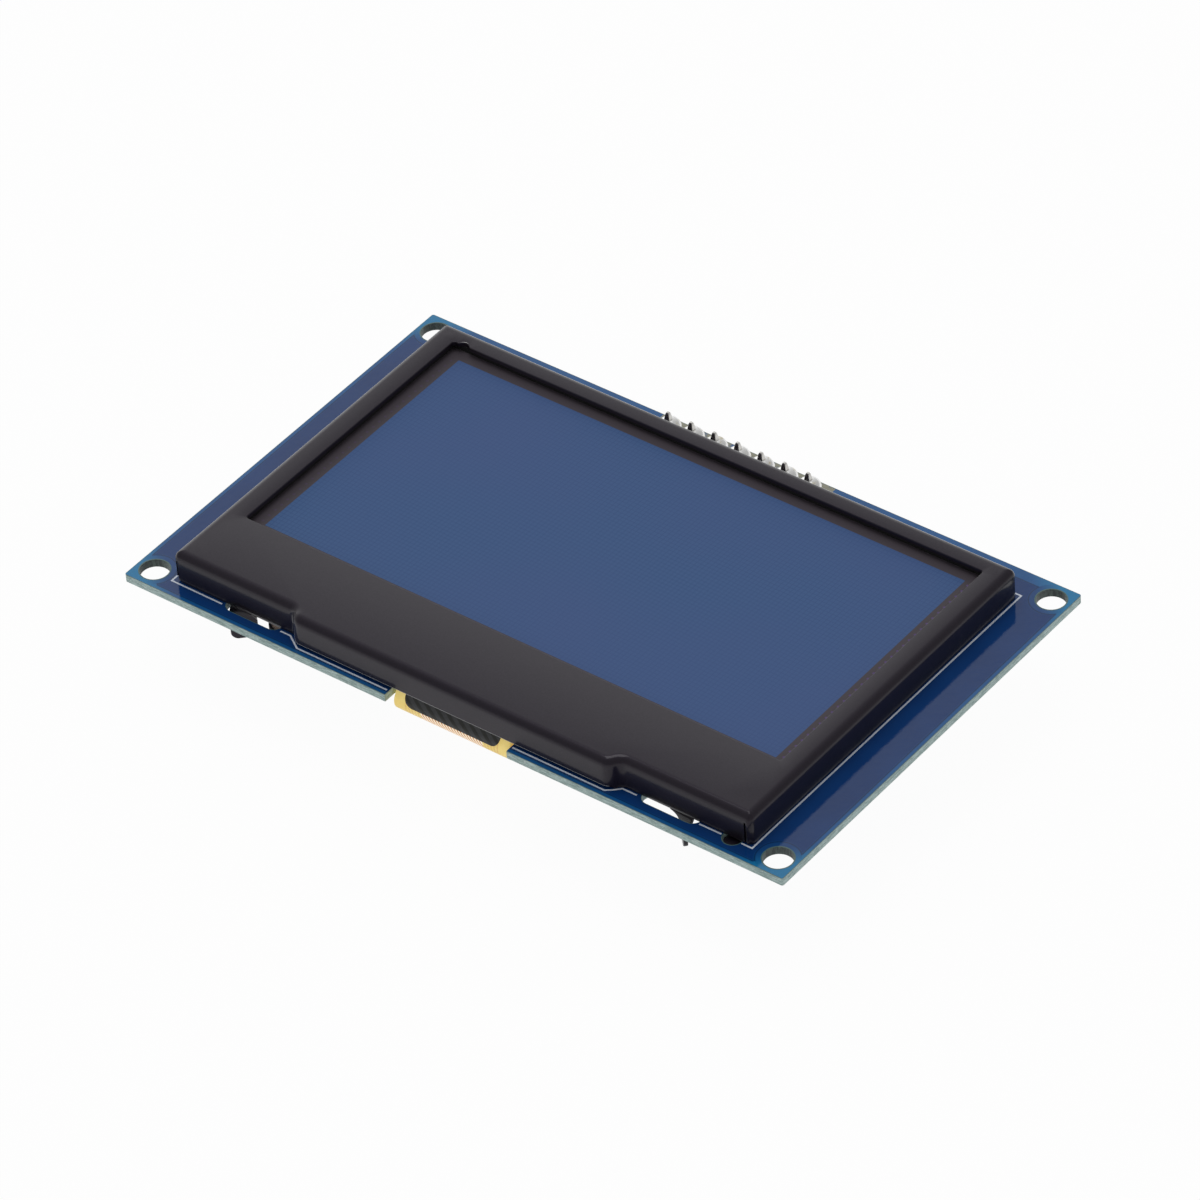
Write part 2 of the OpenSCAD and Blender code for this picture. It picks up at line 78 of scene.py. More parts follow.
# Bezel, in plan and in height
NOSE_OUT, NOSE_HALF, NOSE_LIFT = 1.08, 16.25, 0.3
BEZEL_X = middle("bezel", 0)
HALF = extent("bezel")[1][0] - BEZEL_X
FRONT = extent("bezel")[0][1] + NOSE_OUT
BACK = FRONT + 38.55
TALL = extent("bezel")[1][2]
SHEET, BEND, CORNER_R, LEAST_R = 0.4, 0.8, 0.55, 0.08
CONVEX, CONCAVE, TURN = 1.2, 0.96, 60       # the S of two arcs at each end of the nose
JOIN_HALF = NOSE_HALF + (CONVEX + CONCAVE) * math.sin(math.radians(TURN))
WINDOW, WINDOW_R = (57.5, 29.4), 0.25
TAB_X, TAB_HALF, TAB_END, TAB_FOOT = 23.7, 1.2, 0.65, -3.08
TAB_TURN, TWIST_LEN = 45, 1.3
LUG_X = 28.93

# Cut-outs of the board
HOLE_X, HOLE_Y, HOLE_R = 33.55, 19.85, 1.4
SLOT_X, SLOT_HALF, SLOT_FRONT, SLOT_BACK = 22.45, 2.1, -19.6, 18.25

# Header
PIN_NODES = [f"header_pin_{i}" for i in range(1, 8)]
PIN_AT = [middle(name, 0) for name in PIN_NODES]
PIN_Y = middle(PIN_NODES[0], 1)
PIN_LOW = extent(PIN_NODES[0])[0][2]


# ---- Camera, floor and light ----

def aim(obj, target, roll=0.0):
    """Points an object's -Z at target, rolled clockwise by roll degrees as it looks."""
    look = (Vector(target) - obj.location).normalized()
    turn = look.to_track_quat("-Z", "Y").to_matrix()
    obj.rotation_euler = (turn @ Matrix.Rotation(math.radians(-roll), 3, "Z")).to_euler()


def camera_at(azimuth, elevation, distance, target, roll, lens):
    a, e = math.radians(azimuth), math.radians(elevation)
    away = Vector((math.sin(a) * math.cos(e), -math.cos(a) * math.cos(e), math.sin(e)))
    cam = bpy.data.objects.new("camera", bpy.data.cameras.new("camera"))
    cam.location = Vector(target) + away * distance
    aim(cam, target, roll)
    cam.data.lens = lens
    cam.data.sensor_width = 36
    cam.data.clip_start = 0.05
    bpy.context.collection.objects.link(cam)
    bpy.context.scene.camera = cam


def softbox(name, place, target, size, watts):
    lamp = bpy.data.objects.new(name, bpy.data.lights.new(name, "AREA"))
    lamp.data.shape = "RECTANGLE"
    lamp.data.size, lamp.data.size_y = size
    lamp.data.energy = watts
    lamp.location = place
    aim(lamp, target)
    bpy.context.collection.objects.link(lamp)


# ---- Shader expressions ----

def put(tree, slot, value):
    """Links a wire to a socket, or sets the socket to a number, a vector or a colour."""
    if isinstance(value, Wire):
        tree.links.new(value.socket, slot)
    elif isinstance(value, (tuple, list)) and slot.type == "RGBA":
        slot.default_value = (*value[:3], 1.0)
    else:
        slot.default_value = value


def join(tree, operation, *values):
    """A Math node on wires and numbers."""
    node = tree.nodes.new("ShaderNodeMath")
    node.operation = operation
    for slot, value in zip(node.inputs, values):
        put(tree, slot, value)
    return Wire(tree, node.outputs[0])


def of_two(operation, reflected=False):
    """A method for a wire and one other value."""
    def method(self, other):
        pair = (other, self) if reflected else (self, other)
        return join(self.tree, operation, *pair)
    return method


def of_one(operation):
    """A method for a wire alone."""
    def method(self):
        return join(self.tree, operation, self)
    return method


class Wire:
    """A shader socket in one tree. Arithmetic on it adds Math nodes."""

    def __init__(self, tree, socket):
        self.tree = tree
        self.socket = socket

    __add__ = __radd__ = of_two("ADD")
    __sub__ = of_two("SUBTRACT")
    __rsub__ = of_two("SUBTRACT", reflected=True)
    __mul__ = __rmul__ = of_two("MULTIPLY")
    __truediv__ = of_two("DIVIDE")
    __gt__ = of_two("GREATER_THAN")
    __lt__ = of_two("LESS_THAN")
    __abs__ = of_one("ABSOLUTE")
    least = of_two("MINIMUM")
    most = of_two("MAXIMUM")
    fract = of_one("FRACT")
    root = of_one("SQRT")

    def clamped(self):
        return self.least(1.0).most(0.0)

    def ramp(self, low, high):
        """0 at low, 1 at high, straight between."""
        return ((self - low) / (high - low)).clamped()

    def off_line(self, pitch):
        """Distance from the nearest half of a repeat, in repeats: 0.5 where lines of this pitch lie."""
        return abs((self / pitch).fract() - 0.5)


def reach(a, b):
    """Length of the vector (a, b)."""
    return (a * a + b * b).root()


class Shading:
    """A tree of shader nodes. node() adds any node; show() sends one to the output."""

    def __init__(self, tree, output):
        self.tree = tree
        self.tree.nodes.clear()
        self.out = self.tree.nodes.new("ShaderNodeOutput" + output)

    def node(self, kind, settings=None, inputs=None, output=0):
        node = self.tree.nodes.new("ShaderNode" + kind)
        for key, value in (settings or {}).items():
            if key == "stops":
                self.set_stops(node.color_ramp, value)
            else:
                setattr(node, key, value)
        for key, value in (inputs or {}).items():
            put(self.tree, node.inputs[key], value)
        return Wire(self.tree, node.outputs[output])

    def set_stops(self, ramp, stops):
        while len(ramp.elements) < len(stops):
            ramp.elements.new(0.5)
        for stop, (at, colour) in zip(ramp.elements, stops):
            stop.position = at
            stop.color = (*colour, 1.0)

    def parts(self, vector):
        """X, Y and Z of a vector."""
        node = self.tree.nodes.new("ShaderNodeSeparateXYZ")
        put(self.tree, node.inputs[0], vector)
        return [Wire(self.tree, part) for part in node.outputs]

    def show(self, shader):
        self.tree.links.new(shader.socket, self.out.inputs[0])


class Finish(Shading):
    """One material. body() is its main shader, on() gives it to pieces."""

    def __init__(self, name):
        self.material = bpy.data.materials.new(name)
        self.material.use_nodes = True
        super().__init__(self.material.node_tree, "Material")

    def place(self):
        """The point's own X, Y and Z in millimetres, and the point itself for noise."""
        at = self.node("TexCoord", output="Object")
        return [part * 1000.0 for part in self.parts(at)], at

    def facing(self):
        """The true normal's X, Y and Z."""
        return self.parts(self.node("NewGeometry", output="True Normal"))

    def scaled(self, at, per_mm, stretch=(1, 1, 1)):
        factors = tuple(per_mm * 1000.0 * share for share in stretch)
        return self.node("VectorMath", {"operation": "MULTIPLY"}, {0: at, 1: factors})

    def noise(self, at, per_mm, detail=2.0, roughness=0.5, stretch=(1, 1, 1)):
        inputs = {"Vector": self.scaled(at, per_mm, stretch), "Scale": 1.0, "Detail": detail}
        return self.node("TexNoise", None, {**inputs, "Roughness": roughness})

    def blend(self, share, a, b):
        """Colour a where share is 0, colour b where it is 1."""
        return self.node("Mix", {"data_type": "RGBA"}, {0: share, 6: a, 7: b}, output=2)

    def specks(self, at, per_mm, size_mm, rarity):
        """1 on small scattered spots."""
        inputs = {"Vector": self.scaled(at, per_mm), "Scale": 1.0}
        near = self.node("TexVoronoi", None, inputs, "Distance")
        pick = self.node("TexVoronoi", None, inputs, "Color")
        return (near < size_mm * per_mm) * (pick > rarity)

    def bump(self, height, strength, depth_mm):
        return self.node("Bump", None, {"Height": height, "Strength": strength, "Distance": depth_mm * MM})

    def body(self, **inputs):
        named = {key.replace("_", " "): value for key, value in inputs.items()}
        self.show(self.node("BsdfPrincipled", None, named))

    def on(self, *names):
        for name in names:
            piece = nodes.get(name) or bpy.data.objects[name]
            piece.data.materials.clear()
            piece.data.materials.append(self.material)


# ---- Floor and world ----

FLOOR_GAP = 0.0001
SEEN_LEVEL, MIRRORED_LEVEL = 0.965, 0.48
BRIGHT_SIDE = (-0.75, 0.6, 0.28)
SKY = ((0.0, 0.36), (0.6, 0.44), (0.86, 0.6), (0.93, 1.0), (1.0, 1.15))


def lay_floor(half=3.0):
    """White to the camera and in reflections, and a pale card to the light."""
    mesh = bpy.data.meshes.new("floor")
    z = cad_box[0][2] - FLOOR_GAP
    corners = [(-half, -half, z), (half, -half, z), (half, half, z), (-half, half, z)]
    mesh.from_pydata(corners, [], [(0, 1, 2, 3)])
    floor = bpy.data.objects.new("floor", mesh)
    bpy.context.collection.objects.link(floor)
    pale = Finish("floor_white")
    seen = pale.node("LightPath", output="Is Camera Ray")
    mirrored = pale.node("LightPath", output="Is Glossy Ray")
    through = pale.node("LightPath", output="Is Transmission Ray")
    card = pale.node("BsdfDiffuse", None, {"Color": (0.93, 0.93, 0.93)})
    white = pale.node("Emission", None, {"Color": (1, 1, 1), "Strength": 1.0})
    share = seen * SEEN_LEVEL + (mirrored + through) * MIRRORED_LEVEL
    pale.show(pale.node("MixShader", None, {0: share.clamped(), 1: card, 2: white}))
    mesh.materials.append(pale.material)


def light_world():
    """A grey room that is brighter behind the left side of the board."""
    world = bpy.data.worlds.new("studio")
    bpy.context.scene.world = world
    world.use_nodes = True
    room = Shading(world.node_tree, "World")
    way = room.node("TexCoord", output="Generated")
    lean = room.node("VectorMath", {"operation": "DOT_PRODUCT"}, {0: way, 1: BRIGHT_SIDE}, "Value")
    stops = [(at, (level, level, level)) for at, level in SKY]
    level = room.node("ValToRGB", {"stops": stops}, {0: lean})
    room.show(room.node("Background", None, {"Color": level}))


camera_at(azimuth=39.64, elevation=40.13, distance=0.69282, target=(0.001255, -0.001668, 0),
          roll=3.92, lens=241.43)
bpy.context.scene.view_settings.view_transform = "Standard"
lay_floor()
light_world()
softbox("overhead", place=(-0.1, 0.08, 0.9), target=(0, 0, 0), size=(0.5, 0.5), watts=1.9)


# ---- Building meshes from loops of points, in millimetres ----

def shade(mesh, sharp_from):
    mesh.shade_smooth()
    mesh.set_sharp_from_angle(angle=math.radians(sharp_from))


def make_piece(name, build, replaces=None, sharp_from=40):
    """Runs build(bm) on an empty mesh, gives the piece its body and hides the parts it replaces."""
    bm = bmesh.new()
    build(bm)
    bmesh.ops.remove_doubles(bm, verts=bm.verts, dist=0.0005)
    bmesh.ops.recalc_face_normals(bm, faces=bm.faces)
    bmesh.ops.scale(bm, vec=(MM, MM, MM), verts=bm.verts)
    mesh = bpy.data.meshes.new(name)
    bm.to_mesh(mesh)
    bm.free()
    piece = bpy.data.objects.new(name, mesh)
    bpy.context.collection.objects.link(piece)
    shade(mesh, sharp_from)
    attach(piece, "root")
    if replaces:
        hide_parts(*replaces)
    return piece


def skin(bm, loops, ends=False):
    """Joins equal closed loops of points by quads. ends closes the first and last loop."""
    rows = [[bm.verts.new(point) for point in loop] for loop in loops]
    count = len(rows[0])
    for a, b in zip(rows, rows[1:]):
        for i in range(count):
            j = (i + 1) % count
            bm.faces.new((a[i], a[j], b[j], b[i]))
    if ends:
        bm.faces.new(rows[0][::-1])
        bm.faces.new(rows[-1])
    return rows


def loop_edges(bm, row):
    return [bm.edges.get((row[i], row[(i + 1) % len(row)])) for i in range(len(row))]


def arc(cx, cy, r, start, end, steps):
    angles = [math.radians(start + (end - start) * i / steps) for i in range(steps + 1)]
    return [(cx + r * math.cos(a), cy + r * math.sin(a)) for a in angles]


def ring(cx, cy, r, count):
    """count points all the way round a circle."""
    return arc(cx, cy, r, 0, 360 - 360 / count, count - 1)


def spaced(a, b, count):
    """count points from a towards b, without b."""
    return [tuple(p + (q - p) * i / count for p, q in zip(a, b)) for i in range(count)]


def share_of(value, start, end):
    """0 at start and before it, 1 at end and past it, straight between."""
    return min(max((value - start) / (end - start), 0), 1)


def chamfered(half_x, half_y, cut):
    """A rectangle about the origin with its corners cut."""
    x, y = half_x - cut, half_y - cut
    return [(-half_x, -y), (-x, -half_y), (x, -half_y), (half_x, -y),
            (half_x, y), (x, half_y), (-x, half_y), (-half_x, y)]


# ---- Bezel: folded sheet with a stepped nose and a window ----

CORNER_STEPS, S_STEPS, FOLD_STEPS, EDGE_STEPS = 6, 10, 12, 4
NOSE_STEPS, FRONT_STEPS, NEAR_STEPS, SIDE_STEPS, BACK_STEPS = 40, 14, 12, 38, 60
NEAR = 1.2                                  # finely divided stretch beside a front corner
EDGE_R = 0.1                                # rounding of the window's edge
SIDE_SHARES = (0.15, 0.3, 0.45, 0.6, 0.75, 0.9)
INSIDE_SHARES = (0.75, 0.5, 0.25, 0.03)
RIM, RIM_SHARE = 0.06, 0.03                 # rounding of the wall's lower edge


def bezel_plan(inset):
    """Outline of the bezel moved in by inset, anticlockwise from the front left corner."""
    r = max(CORNER_R - inset, LEAST_R)
    x, front, back = HALF - inset, FRONT + inset, BACK - inset
    step_in = arc(-JOIN_HALF, FRONT - CONCAVE, CONCAVE + inset, 90, 90 - TURN, S_STEPS)
    step_out = arc(-NOSE_HALF, FRONT - NOSE_OUT + CONVEX, CONVEX - inset, 270 - TURN, 270, S_STEPS)
    left_end = step_in + step_out[1:]
    right_end = [(-px, py) for px, py in reversed(left_end)]
    left, near_left = (-x + r, front), (-x + r + NEAR, front)
    right, near_right = (x - r, front), (x - r - NEAR, front)
    points = arc(-x + r, front + r, r, 180, 270, CORNER_STEPS)[:-1]
    points += spaced(left, near_left, NEAR_STEPS) + spaced(near_left, left_end[0], FRONT_STEPS)
    points += left_end[:-1] + spaced(left_end[-1], right_end[0], NOSE_STEPS) + right_end
    points += spaced(right_end[-1], near_right, FRONT_STEPS)[1:] + spaced(near_right, right, NEAR_STEPS)
    points += arc(x - r, front + r, r, 270, 360, CORNER_STEPS)[:-1]
    points += spaced((x, front + r), (x, back - r), SIDE_STEPS)
    points += arc(x - r, back - r, r, 0, 90, CORNER_STEPS)[:-1]
    points += spaced((x - r, back), (-x + r, back), BACK_STEPS)
    points += arc(-x + r, back - r, r, 90, 180, CORNER_STEPS)[:-1]
    points += spaced((-x, back - r), (-x, front + r), SIDE_STEPS)
    return [(px + BEZEL_X, py) for px, py in points]


NOSE_CLEAR, NOSE_RISE = 1.1, 0.5            # where the gap under the nose starts, and its slope's width
CROP_IN, CROP_SLOPE, CROP_HIGH = 0.25, 0.5, 0.5     # the cropped lower corner at the front left


def wall_foot(x, y):
    """Height of the wall's lower edge: the nose stands clear of the board, the left corner is cropped."""
    if y > FRONT + 1:
        return 0.0
    start = NOSE_HALF + NOSE_CLEAR
    t = share_of(abs(x - BEZEL_X), start, start - NOSE_RISE)
    left = BEZEL_X - HALF + CROP_IN
    cropped = share_of(x, left + CROP_SLOPE, left)
    return NOSE_LIFT * t * t * (3 - 2 * t) + CROP_HIGH * cropped


LIP_X, LIP_HALF, LIP_OUT, LIP_LEAN = 30.52, 0.28, 0.15, 0.4
LIP_TOP, LIP_FADE, LIP_RISE, LIP_DEEP = 2.6, 0.5, 0.9, 0.6


def bent_lip(x, y, z):
    """The sheet stands out a little beside the front right slit."""
    if y > FRONT + LIP_DEEP:
        return x, y, z
    height = min(share_of(z, LIP_TOP, LIP_TOP - LIP_FADE), share_of(z, 0, LIP_RISE))
    swell = LIP_OUT * max(0.0, 1 - abs(x - LIP_X) / LIP_HALF) * height
    return x + LIP_LEAN * swell, y - swell, z


def wall_ring(inset, share):
    """Outline of the wall at a share of its own height."""
    feet = [(x, y, wall_foot(x, y)) for x, y in bezel_plan(inset)]
    return [bent_lip(x, y, foot + (TALL - BEND - foot) * share) for x, y, foot in feet]


def fold_rings(r):
    """Outlines up a quarter bend of radius r."""
    rings = []
    for i in range(FOLD_STEPS + 1):
        a = math.radians(90 * i / FOLD_STEPS)
        z = TALL - BEND + r * math.sin(a)
        rings.append([bent_lip(x, y, z) for x, y in bezel_plan(BEND - r * math.cos(a))])
    return rings


NICK_LEFT, NICK_RIGHT, NICK_DEEP, NICK_STEPS = -28.2, -26.9, 0.36, 18


def nick_depth(x):
    """How far the torn nick in the window's back edge bites into the sheet."""
    t = (x - NICK_LEFT) / (NICK_RIGHT - NICK_LEFT)
    return NICK_DEEP * math.sin(math.pi * t) * (1.25 - 0.5 * t) if 0 < t < 1 else 0.0


def rounded_window(grow, z):
    """Outline of the window, grown by grow, with the nick in its back edge."""
    w, d, r = WINDOW[0] / 2 + grow, WINDOW[1] / 2 + grow, WINDOW_R + grow
    points = []
    for sx, sy, a in ((-1, -1, 180), (1, -1, 270), (1, 1, 0), (-1, 1, 90)):
        points += arc(sx * (w - r), LIT_MIDDLE + sy * (d - r), r, a, a + 90, CORNER_STEPS)
        if sx == sy == 1:
            step = (NICK_RIGHT - NICK_LEFT) / NICK_STEPS
            torn = [NICK_RIGHT - step * i for i in range(NICK_STEPS + 1)]
            points += [(x, LIT_MIDDLE + d + nick_depth(x)) for x in torn]
    return [(x, y, z) for x, y in points]


def window_rings():
    """Outlines down the rounded edge of the window."""
    angles = [math.radians(90 * i / EDGE_STEPS) for i in range(EDGE_STEPS + 1)]
    rings = [rounded_window(EDGE_R - EDGE_R * math.sin(a), TALL - EDGE_R + EDGE_R * math.cos(a))
             for a in angles]
    return rings + [rounded_window(0, TALL - SHEET)]


def build_bezel(bm):
    foot = wall_ring(SHEET / 2, 0.0)
    outside = [foot, wall_ring(RIM, 0.0), wall_ring(0, RIM_SHARE)]
    outside += [wall_ring(0, share) for share in SIDE_SHARES] + fold_rings(BEND)
    inside = fold_rings(BEND - SHEET)[::-1] + [wall_ring(SHEET, share) for share in INSIDE_SHARES]
    inside += [wall_ring(SHEET - RIM, 0.0), foot]
    outer = skin(bm, outside)
    inner = skin(bm, inside)
    window = skin(bm, window_rings())
    for a, b in ((outer[-1], window[0]), (inner[0], window[-1])):
        edges = loop_edges(bm, a) + loop_edges(bm, b)
        bmesh.ops.triangle_fill(bm, use_beauty=True, edges=edges)


# Slits at the corners, as (x, y, width)
SLITS = ((-30.82, FRONT, 0.2), (30.27, FRONT, 0.22), (-30.7, BACK, 0.12), (30.5, BACK, 0.12))
SLIT_LOW, SLIT_TOP, SLIT_REACH = -1, 2.2, 0.6


def build_slit_cutter(bm):
    """One upright blade with a round top for each slit."""
    for x, y, width in SLITS:
        half = width / 2
        outline = [(x - half, SLIT_LOW), (x + half, SLIT_LOW), (x + half, SLIT_TOP)]
        outline += arc(x, SLIT_TOP, half, 0, 180, CORNER_STEPS)[1:]
        skin(bm, [[(px, y + dy, pz) for px, pz in outline] for dy in (-SLIT_REACH, SLIT_REACH)], ends=True)


def cut_slits(piece):
    cutter = make_piece("slit_cutter", build_slit_cutter)
    cut = piece.modifiers.new("slits", "BOOLEAN")
    cut.operation, cut.object, cut.solver = "DIFFERENCE", cutter, "EXACT"
    bpy.context.view_layer.update()
    evaluated = piece.evaluated_get(bpy.context.evaluated_depsgraph_get())
    done = bpy.data.meshes.new_from_object(evaluated)
    piece.modifiers.clear()
    piece.data = done
    bpy.data.objects.remove(cutter)
    shade(done, 40)


# ---- Twisted tabs, the lug in its hole, and the burr on the window's nick ----

TWIST_STEPS, ROUND = 12, 24
TAB_EASE = 0.06                             # chamfer, and how much thinner the tab is inside the fold
TAB_END_ANGLES = (0, 20, 40, 55, 70, 82)
LUG_SIDE = ((0.5, -0.25), (0.8, -0.32), (0.84, -0.42), (0.84, -1.05), (0.74, -1.15))    # radius, height


def tab_sections(turn):
    """Heights and turns down a tab: from inside the fold, through the board, round the end."""
    down = [(0.3, 0), (0.05, 0)]
    down += [(-TWIST_LEN * i / TWIST_STEPS, turn * i / TWIST_STEPS) for i in range(TWIST_STEPS + 1)]
    ends = [TAB_FOOT + TAB_END * (1 - math.sin(math.radians(a))) for a in TAB_END_ANGLES]
    return down + [(z, turn) for z in ends]


def tab_loops(x, y, turn):
    loops = []
    for z, twist in tab_sections(turn):
        half = TAB_HALF
        thick = SHEET / 2 - (TAB_EASE if z > 0 else 0)
        rise = TAB_FOOT + TAB_END - z
        if rise > 0:
            half -= TAB_END - math.sqrt(TAB_END ** 2 - rise ** 2)
        c, s = math.cos(math.radians(twist)), math.sin(math.radians(twist))
        outline = chamfered(half, thick, TAB_EASE)
        loops.append([(x + px * c - py * s, y + px * s + py * c, z) for px, py in outline])
    return loops


def build_tabs(bm):
    for side in (-1, 1):
        x = BEZEL_X + side * TAB_X
        skin(bm, tab_loops(x, FRONT + SHEET / 2, -side * TAB_TURN), ends=True)
        skin(bm, tab_loops(x, BACK - SHEET / 2, side * TAB_TURN), ends=True)
    lug = [[(x, y, z) for x, y in ring(LUG_X, FRONT, r, ROUND)] for r, z in LUG_SIDE]
    skin(bm, lug, ends=True)


BURR_START, BURR_LEN, BURR_HALF, BURR_STEPS, BURR_SUNK = -28.15, 0.8, 0.055, 16, 0.03


def build_burr(bm):
    """Lip of bare metal pushed up along the nick."""
    sections = []
    for i in range(BURR_STEPS + 1):
        x = BURR_START + BURR_LEN * i / BURR_STEPS
        y = LIT_MIDDLE + WINDOW[1] / 2 + nick_depth(x) + EDGE_R
        t = BURR_HALF * math.sin(math.pi * (i + 0.6) / (BURR_STEPS + 1.2))
        low = TALL - BURR_SUNK
        sections.append([(x, y - t, low), (x, y, TALL + 0.4 * t), (x, y + t, low)])
    skin(bm, sections, ends=True)


cut_slits(make_piece("bezel_sheet", build_bezel, ["bezel"]))
make_piece("bezel_tabs", build_tabs)
make_piece("window_burr", build_burr)


# ---- Header pins and their solder ----

PIN_HALF = 0.29
PIN_SIDE = ((PIN_LOW, 0.15), (-8.8, PIN_HALF), (1.25, PIN_HALF), (1.82, 0.18), (1.96, 0.11))  # height, half
PIN_CUT = 0.18                              # chamfer, as a share of the half width


def pin_builder(cx):
    def build(bm):
        loops = []
        for z, half in PIN_SIDE:
            outline = chamfered(half, half, PIN_CUT * half)
            loops.append([(cx + px, PIN_Y + py, z) for px, py in outline])
        skin(bm, loops, ends=True)
    return build


JOINT_STEPS, JOINT_ROUND, JOINT_TIP_R = 14, 48, 0.3
FULLNESS, COLLAR, JOINT_LIFT = 0.75, 0.12, 0.02


def joint_loops(cx, tall, wide, lean):
    """A full round joint, from its foot on the board to its collar round the pin."""
    loops = []
    for i in range(JOINT_STEPS):
        t = i / (JOINT_STEPS - 1)
        r = JOINT_TIP_R + (wide - JOINT_TIP_R) * math.cos(t * math.pi / 2) ** FULLNESS
        z = JOINT_LIFT + tall * math.sin(t * math.pi / 2) + COLLAR * t ** 6
        loops.append([(x + lean * t, y, z) for x, y in ring(cx, PIN_Y, r, JOINT_ROUND)])
    foot = [(x, y, 0.0) for x, y, z in loops[0]]
    return [foot] + loops


def build_header_joints(bm):
    """Joints that nearly touch their neighbours, each a little different."""
    chance = random.Random(7)
    for cx in PIN_AT:
        tall = 1.0 + 0.12 * chance.random()
        wide = 1.19 + 0.05 * chance.random()
        lean = 0.1 * (chance.random() - 0.3)
        skin(bm, joint_loops(cx, tall, wide, lean), ends=True)


pins = [f"pin_{i + 1}" for i in range(len(PIN_AT))]
for name, cx, node in zip(pins, PIN_AT, PIN_NODES):
    make_piece(name, pin_builder(cx), [node])
make_piece("header_joints", build_header_joints, ["header_solder"])


# ---- Printed outline round the bezel ----

SILK = [[(-25.7, -20.205), (-31.35, -20.19), (-31.35, 18.8), (31.13, 18.8), (31.06, -20.12), (29.95, -20.12)],
        [(-19.2, -20.22), (-18.1, -20.22), (-17.6, -20.55), (-16.6, -21.2), (-6.75, -21.2)],
        [(6.73, -21.15), (16.46, -21.15), (17.0, -20.75), (17.6, -20.15), (19.1, -20.15)],
        [(25.6, -20.13), (27.9, -20.12)]]
INK_HALF, INK_T = 0.08, 0.018
SHARPEST = 0.3                              # limit of a mitre's spread


def mitre(path, i):
    """Half the line's width at a point of a path, square to the line."""
    ahead = Vector(path[min(i + 1, len(path) - 1)]) - Vector(path[i])
    behind = Vector(path[i]) - Vector(path[max(i - 1, 0)])
    into = (behind if i else ahead).normalized()
    out = (ahead if i < len(path) - 1 else into).normalized()
    mid = (into + out).normalized()
    return Vector((-mid.y, mid.x)) * (INK_HALF / max(mid.dot(into), SHARPEST))


def build_silk(bm):
    for path in SILK:
        sections = []
        for i, point in enumerate(path):
            left, right = Vector(point) + mitre(path, i), Vector(point) - mitre(path, i)
            sections.append([(*left, 0.0), (*left, INK_T), (*right, INK_T), (*right, 0.0)])
        skin(bm, sections, ends=True)


make_piece("silk_outline", build_silk, sharp_from=30)


# ---- Finishes ----

def bezel_paint():
    """Satin black paint with a thin gloss, bare at the nose's lower edge, where a pale line is painted as its
    highlight.
    """
    f = Finish("satin_black_paint")
    (x, y, z), at = f.place()
    grain = f.noise(at, 7.0, 3.0)
    peel = f.noise(at, 1.3, 2.0)
    dust = f.specks(at, per_mm=0.45, size_mm=0.075, rarity=0.93)
    # Bare cut edge of the nose's lower rim, painted pale grey: a painted highlight that the downward-facing
    # edge does not catch itself.
    bare_edge_highlight = (y < FRONT - 0.9) * (z < NOSE_LIFT + 0.11) * (z > 0.0)
    paint = f.blend(grain.ramp(0.35, 0.65), (0.0064, 0.0044, 0.0082), (0.0098, 0.0068, 0.0122))
    paint = f.blend(bare_edge_highlight, paint, (0.42, 0.42, 0.43))
    f.body(Base_Color=f.blend(dust, paint, (0.12, 0.12, 0.13)), Roughness=peel * 0.08 + 0.4,
           Specular_Tint=(0.86, 0.74, 1.0), Specular_IOR_Level=0.25,
           Coat_Weight=1.0, Coat_IOR=1.29, Coat_Roughness=0.1,
           Normal=f.bump(peel * 0.4 + grain * 0.6, 0.22, 0.02))
    return f


POUR_INSET, POUR_RING, POUR_BACK = 0.42, 1.98, 20.6
BUS_PITCH, BUS_HALF, BUS_MIDDLE, BUS_REACH = 0.62, 4.65, -1.5, 13.0


def mask_colour(f, x, y, at, nz, hole, to_edge):
    """Mask over copper and over bare board, the line where the copper ends, tracks, flux, rims and dust."""
    beyond = abs(x) + abs(y) - (HOLE_X + HOLE_Y)
    outer = beyond.ramp(-1.6, 1.4)
    cloud = f.noise(at, 0.25, 2.0).ramp(0.3, 0.7)
    over_copper = f.blend(cloud, (0.0032, 0.04, 0.172), (0.004, 0.047, 0.195))
    over_board = f.blend(cloud, (0.008, 0.1, 0.3), (0.012, 0.12, 0.35))
    over_board = f.blend(outer, over_board, (0.012, 0.22, 0.46))
    over_board = f.blend((hole < POUR_RING) * (1.0 - outer) * 0.7, over_board, over_copper)
    pour = (to_edge - POUR_INSET).least(hole - POUR_RING).least(POUR_BACK - y).least(beyond * -1.0)
    mask = f.blend(pour.ramp(-0.15, 0.15), over_board, over_copper)
    flux = (abs(x) < 9.4) * (y > 20.7) * f.noise(at, 1.1).ramp(0.3, 0.5)
    mask = f.blend(flux * 0.8, mask, (0.4, 0.37, 0.22))
    mask = f.blend((abs(pour) < 0.06) * 0.6, mask, (0.001, 0.014, 0.06))
    bus = (x.off_line(BUS_PITCH) < 0.2) * (abs(x) < BUS_HALF) * (abs(y - BUS_MIDDLE) < BUS_REACH)
    vias = f.specks(at, per_mm=0.09, size_mm=0.42, rarity=0.5)
    mask = f.blend(bus.most(vias) * (nz < -0.5) * 0.6, mask, (0.01, 0.09, 0.3))
    slot = reach((abs(abs(x) - SLOT_X) - SLOT_HALF).most(0.0), abs(y - SLOT_FRONT).least(abs(y - SLOT_BACK)))
    lug = reach(x - LUG_X, y - FRONT)
    rim = (hole < HOLE_R + 0.06).most(to_edge < 0.04).most(slot < 1.0).most(lug < 0.98)
    mask = f.blend(rim, mask, (0.09, 0.17, 0.16))
    dust = f.specks(at, per_mm=0.3, size_mm=0.05, rarity=0.95)
    return f.blend(dust, mask, (0.5, 0.55, 0.6))


